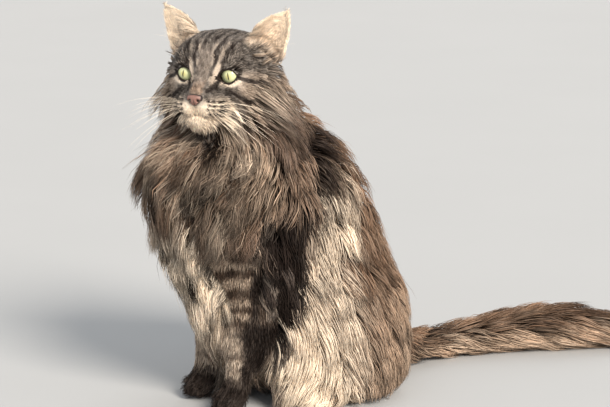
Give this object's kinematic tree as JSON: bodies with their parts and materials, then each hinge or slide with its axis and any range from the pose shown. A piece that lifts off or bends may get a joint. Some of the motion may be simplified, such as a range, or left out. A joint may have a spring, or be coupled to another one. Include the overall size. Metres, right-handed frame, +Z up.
{
  "type": "sitting long-haired cat",
  "caption": "Life-size long-haired cat sitting upright, head turned towards its left shoulder, with a full neck ruff and a bushy tail laid out behind it.",
  "frame": {"origin": "middle of the cat's bounding box at floor level", "axes": "+X is the cat's left, -Y is the way its chest faces, +Z is up; its tail runs along +Y"},
  "size_m": [0.2206, 0.6254, 0.4383],
  "materials": {
    "face": "short dense fur, grey-brown with dark stripes and a cream muzzle",
    "ear": "short fur outside, pale pinkish skin and wispy hair inside",
    "ruff": "long wavy fur, grey-brown with warm buff",
    "back": "long dark reddish-brown fur with cream undercoat on the flank",
    "leg": "medium fur with dark bars",
    "paw": "short dark fur",
    "thigh": "long pale buff fur",
    "tail": "long bushy fur, darker on top",
    "nose": "matt, moist, brick pink with a dark rim",
    "eye": "wet gloss, pale yellow-green with a narrow upright pupil"
  },
  "bodies": {
    "root": {"eye_left": "eye", "eye_right": "eye", "ear_left": "ear", "ear_right": "ear", "nose": "nose", "head": "face", "ruff": "ruff", "neck": "back", "forepaw_left": "paw", "forepaw_right": "paw", "foreleg_left": "leg", "foreleg_right": "leg", "hindpaw_left": "paw", "hindpaw_right": "paw", "thigh_left": "thigh", "thigh_right": "thigh", "tail_base": "tail", "tail_middle": "tail", "tail_tip": "tail", "trunk": "back"}
  },
  "joints": []
}
